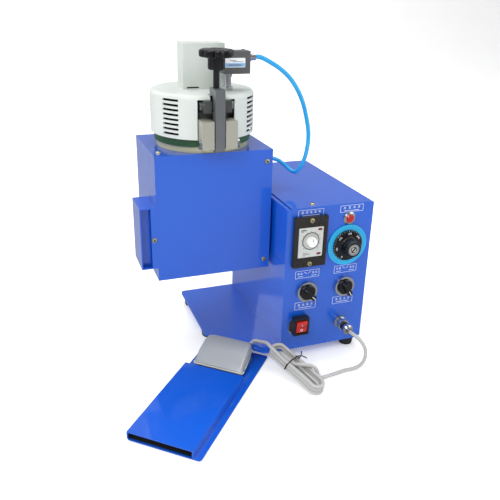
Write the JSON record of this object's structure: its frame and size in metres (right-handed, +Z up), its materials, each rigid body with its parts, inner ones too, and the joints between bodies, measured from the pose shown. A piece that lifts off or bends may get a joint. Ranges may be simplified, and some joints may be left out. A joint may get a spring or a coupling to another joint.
{
  "type": "hot melt glue dispenser",
  "caption": "Bench-top hot melt glue dispenser: control box, heated pot with clamped vented lid, air hose and foot switch in a tray.",
  "frame": {"origin": "centre of the footprint on the bench, under the feet and the foot switch tray", "axes": "+X to the right seen from the control panel, +Y from the panel to the back, +Z up"},
  "size_m": [0.3695, 0.3998, 0.4322],
  "materials": {
    "blue_paint": "gloss",
    "foot_rubber": "matte",
    "cream_screws": "zinc plated",
    "brown_plastic": "satin",
    "white_plastic": "satin",
    "grey_plastic": "satin",
    "black_plastic": "gloss",
    "red_plastic": "gloss",
    "nickel": "nickel plated",
    "cyan_print": "satin",
    "steel": "satin",
    "dark_steel": "blackened",
    "arm_grey": "satin",
    "brass": "satin",
    "cable_pvc": "satin",
    "hose_blue": "gloss",
    "cast_alu": "cast",
    "lid_alu": "cast",
    "band_mica": "matte",
    "green_gasket": "matte",
    "cream_ring": "satin",
    "guard_paint": "satin powder coat",
    "block_grey": "satin",
    "valve_grey": "satin",
    "pedal_grey": "satin"
  },
  "bodies": {
    "frame": {"base_plate": "blue_paint", "rubber_feet": "foot_rubber", "box_shell": "blue_paint", "front_panel": "blue_paint", "top_cover": "blue_paint", "panel_screws": "cream_screws", "timer_frame": "brown_plastic", "timer_unit": "white_plastic", "lamp_bezel": "nickel", "lamp_lens": "red_plastic", "thermostat_ring": "cyan_print", "thermostat_body": "grey_plastic", "left_selector_body": "nickel", "right_selector_body": "nickel", "rocker_bezel": "nickel", "rocker_housing": "black_plastic", "foot_socket": "nickel", "foot_plug": "nickel", "foot_cable": "cable_pvc", "cable_hank": "cable_pvc", "power_inlet": "black_plastic", "air_inlet": "brass", "solenoid_valve": "valve_grey", "head_shell": "blue_paint", "head_front_cover": "blue_paint", "head_top_plate": "blue_paint", "side_channel": "blue_paint", "head_spacers": "steel", "glue_pot": "cast_alu", "heater_band": "band_mica", "pot_collar": "green_gasket", "base_ring": "cream_ring", "glue_nozzle": "brass", "clamp_pin": "steel", "hose_fitting": "nickel", "air_hose": "hose_blue", "lid_hinge_pin": "steel", "pedal_tray": "blue_paint", "pedal_base": "pedal_grey", "pedal_pin": "steel", "pedal_spring": "steel", "pedal_switch": "black_plastic", "cable_gland": "foot_rubber"},
    "clamp": {"clamp_arm": "arm_grey"},
    "pad": {"screw_pad": "steel"},
    "screw": {"clamp_screw": "dark_steel", "clamp_knob": "black_plastic"},
    "lid": {"lid_plate": "lid_alu", "lug_pin": "steel", "guard_cover": "guard_paint", "riser_box": "guard_paint", "air_block": "block_grey", "air_pipe": "nickel", "lid_fitting": "nickel"},
    "timer_dial": {"timer_knob": "white_plastic"},
    "thermostat_dial": {"thermostat_knob": "black_plastic"},
    "left_selector": {"left_selector_knob": "black_plastic"},
    "right_selector": {"right_selector_knob": "black_plastic"},
    "rocker": {"rocker_button": "red_plastic"},
    "pedal": {"pedal_treadle": "pedal_grey"}
  },
  "joints": [
    {"name": "clamp_swing", "type": "hinge", "parent": "frame", "child": "clamp", "pos_m": [-0.02972, -0.00363, 0.317], "axis": [1, 0, 0], "range_deg": [0, 170]},
    {"name": "lid_open", "type": "hinge", "parent": "frame", "child": "lid", "pos_m": [-0.02972, 0.14687, 0.316], "axis": [-1, 0, 0], "range_deg": [0, 68], "deforming": ["air_hose"]},
    {"name": "pad_feed", "type": "slide", "parent": "clamp", "child": "pad", "axis": [0, 0, 1], "range_m": [-0.0058, 0]},
    {"name": "knob_turn", "type": "hinge", "parent": "pad", "child": "screw", "pos_m": [-0.02972, 0.00787, 0.408], "axis": [0, 0, 1], "range_deg": [-1670.4, 0]},
    {"name": "timer_turn", "type": "hinge", "parent": "frame", "child": "timer_dial", "pos_m": [0.08828, -0.04813, 0.1865], "axis": [0, -1, 0], "range_deg": [-135, 135]},
    {"name": "thermostat_turn", "type": "hinge", "parent": "frame", "child": "thermostat_dial", "pos_m": [0.14728, -0.04813, 0.172], "axis": [0, -1, 0], "range_deg": [-270, 30]},
    {"name": "left_selector_turn", "type": "hinge", "parent": "frame", "child": "left_selector", "pos_m": [0.08928, -0.04813, 0.108], "axis": [0, -1, 0], "range_deg": [0, 90]},
    {"name": "right_selector_turn", "type": "hinge", "parent": "frame", "child": "right_selector", "pos_m": [0.14828, -0.04813, 0.108], "axis": [0, -1, 0], "range_deg": [0, 90]},
    {"name": "rocker_tilt", "type": "hinge", "parent": "frame", "child": "rocker", "pos_m": [0.08028, -0.04513, 0.057], "axis": [1, 0, 0], "range_deg": [-14, 0]},
    {"name": "pedal_press", "type": "hinge", "parent": "frame", "child": "pedal", "pos_m": [-0.03748, -0.03505, 0.0065], "axis": [0.7547, -0.6561, 0], "range_deg": [-3, 0], "stiffness_Nm_per_rad": 6, "springref_deg": 1.15, "deforming": ["pedal_spring"]}
  ],
  "couplings": [
    {"joint": "lid_open", "follows": "clamp_swing", "ratio": 0.4},
    {"joint": "knob_turn", "follows": "pad_feed", "rad_per_m": 5026.5}
  ]
}
